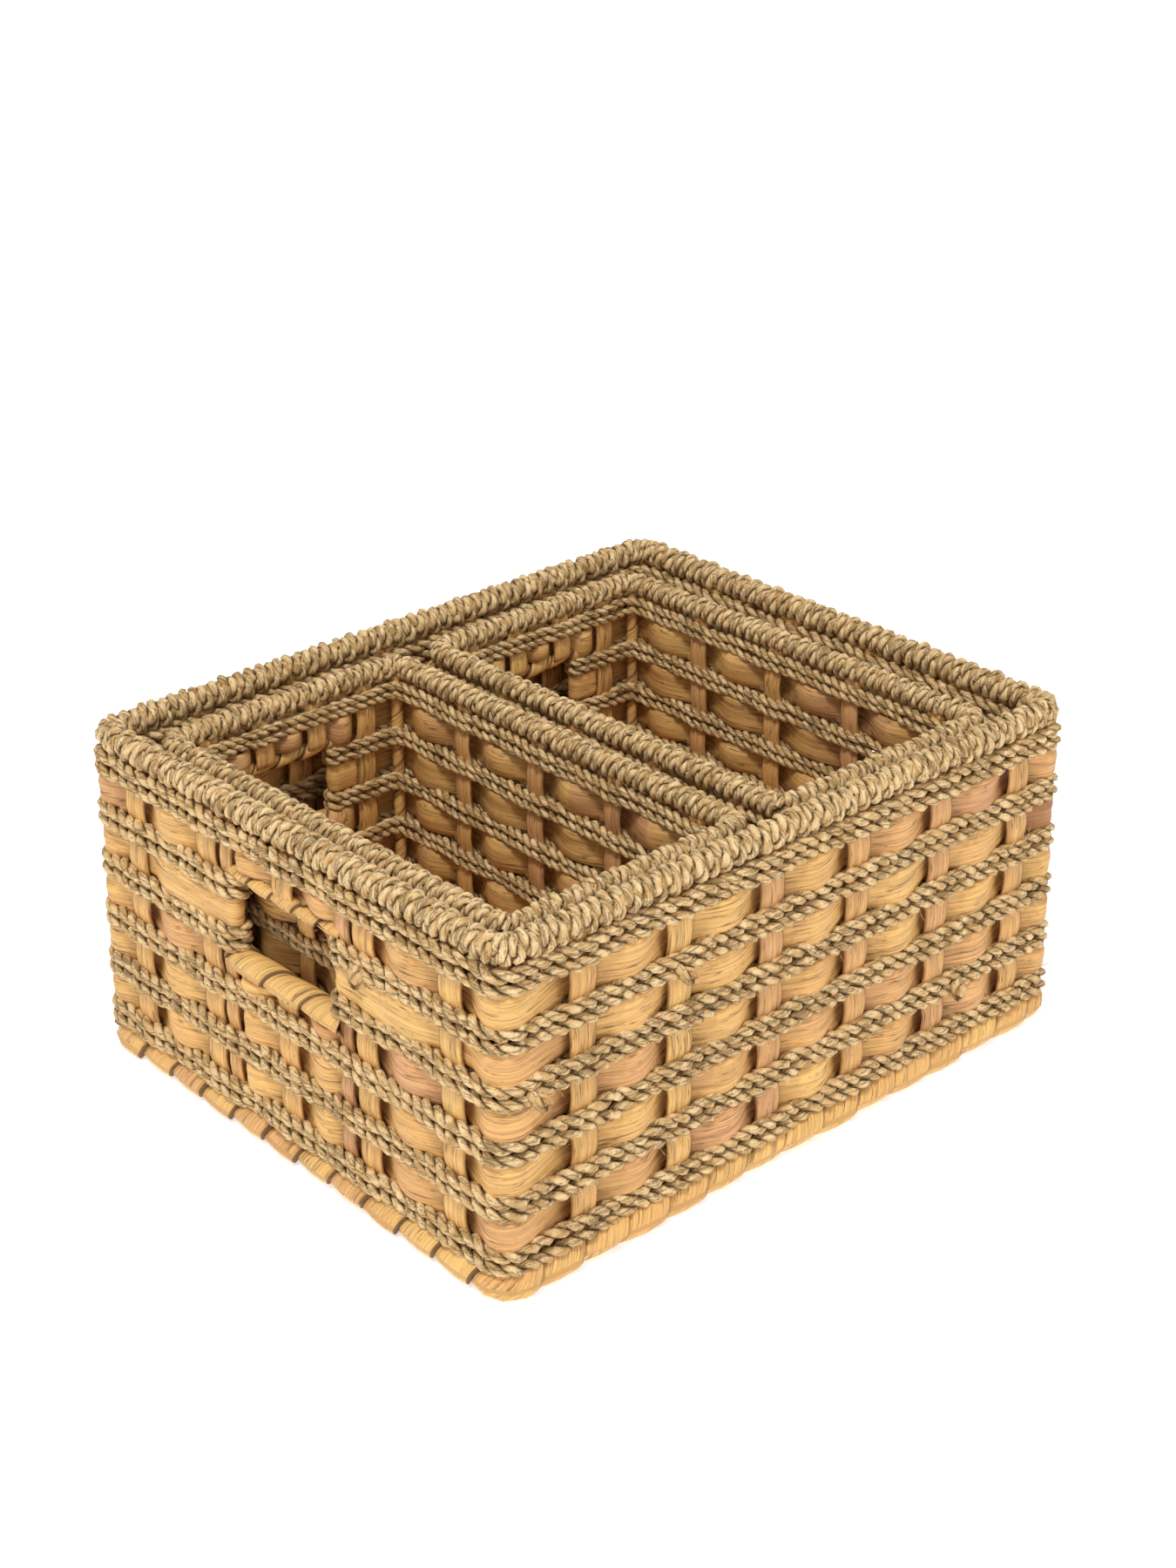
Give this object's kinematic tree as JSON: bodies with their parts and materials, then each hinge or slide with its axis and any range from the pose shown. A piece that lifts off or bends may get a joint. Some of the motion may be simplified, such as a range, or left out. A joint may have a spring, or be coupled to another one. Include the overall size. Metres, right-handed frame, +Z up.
{
  "type": "woven storage basket nest",
  "caption": "Rectangular woven storage basket of flat water-hyacinth bands and twisted seagrass cord on steel rods, with hand holes, holding narrow matching baskets that lift out.",
  "frame": {"origin": "middle of the wide basket's footprint, on the floor", "axes": "+X along the wide basket's long side, +Y along its short side towards the back, +Z up"},
  "size_m": [0.434, 0.36, 0.207],
  "materials": {
    "steel": "satin dark varnish",
    "seagrass": "matt twisted grass cord",
    "hyacinth": "soft satin dried stalk"
  },
  "bodies": {
    "wide_basket": {"wide_frame": "steel", "wide_rim_wrap": "seagrass", "wide_foot_wrap": "hyacinth", "wide_corner_wraps": "hyacinth", "wide_stakes": "hyacinth", "wide_base": "hyacinth", "wide_grips": "hyacinth", "wide_band_1": "hyacinth", "wide_band_2": "hyacinth", "wide_band_3": "hyacinth", "wide_band_4": "hyacinth", "wide_band_5": "hyacinth", "wide_cords_1": "seagrass", "wide_cords_2": "seagrass", "wide_cords_3": "seagrass", "wide_cords_4": "seagrass", "wide_cords_5": "seagrass", "wide_cords_6": "seagrass"},
    "left_basket": {"left_frame": "steel", "left_rim_wrap": "seagrass", "left_foot_wrap": "hyacinth", "left_corner_wraps": "hyacinth", "left_stakes": "hyacinth", "left_base": "hyacinth", "left_grips": "hyacinth", "left_band_1": "hyacinth", "left_band_2": "hyacinth", "left_band_3": "hyacinth", "left_band_4": "hyacinth", "left_band_5": "hyacinth", "left_cords_1": "seagrass", "left_cords_2": "seagrass", "left_cords_3": "seagrass", "left_cords_4": "seagrass", "left_cords_5": "seagrass", "left_cords_6": "seagrass"},
    "right_basket": {"right_frame": "steel", "right_rim_wrap": "seagrass", "right_foot_wrap": "hyacinth", "right_corner_wraps": "hyacinth", "right_stakes": "hyacinth", "right_base": "hyacinth", "right_grips": "hyacinth", "right_band_1": "hyacinth", "right_band_2": "hyacinth", "right_band_3": "hyacinth", "right_band_4": "hyacinth", "right_band_5": "hyacinth", "right_cords_1": "seagrass", "right_cords_2": "seagrass", "right_cords_3": "seagrass", "right_cords_4": "seagrass", "right_cords_5": "seagrass", "right_cords_6": "seagrass"}
  },
  "joints": [
    {"name": "left_lift", "type": "slide", "parent": "wide_basket", "child": "left_basket", "axis": [0, 0, 1], "range_m": [0, 0.22]},
    {"name": "right_lift", "type": "slide", "parent": "wide_basket", "child": "right_basket", "axis": [0, 0, 1], "range_m": [0, 0.22]}
  ]
}
